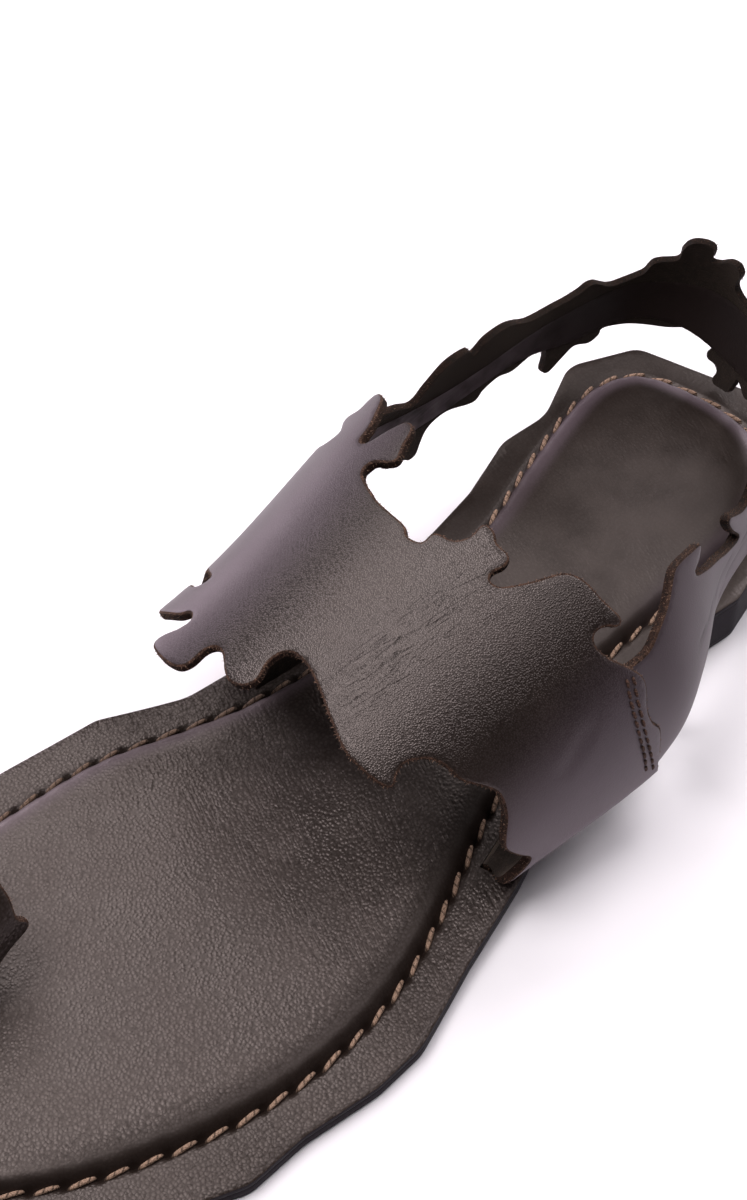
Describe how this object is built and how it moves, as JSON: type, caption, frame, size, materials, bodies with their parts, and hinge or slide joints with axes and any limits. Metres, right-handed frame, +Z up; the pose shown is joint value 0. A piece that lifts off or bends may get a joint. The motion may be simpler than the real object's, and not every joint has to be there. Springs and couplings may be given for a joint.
{
  "type": "split-toe sandal",
  "caption": "Left flat leather sandal with a leaf-cut instep strap, an open heel loop, a big-toe loop, a padded footbed and a thin sole with a low heel.",
  "frame": {"origin": "on the floor, at the middle of the sandal's length and width", "axes": "+X towards the toe, +Y towards the outer side of a left foot, +Z up"},
  "size_m": [0.2518, 0.0955, 0.0577],
  "materials": {
    "sole_rubber": "satin black",
    "bed_leather": "smooth, slightly glossy",
    "strap_leather": "fine grain, satin",
    "loop_leather": "fine grain, satin"
  },
  "bodies": {
    "root": {"outsole": "sole_rubber", "footbed": "bed_leather", "upper": "strap_leather", "toe_loop": "loop_leather"}
  },
  "joints": []
}
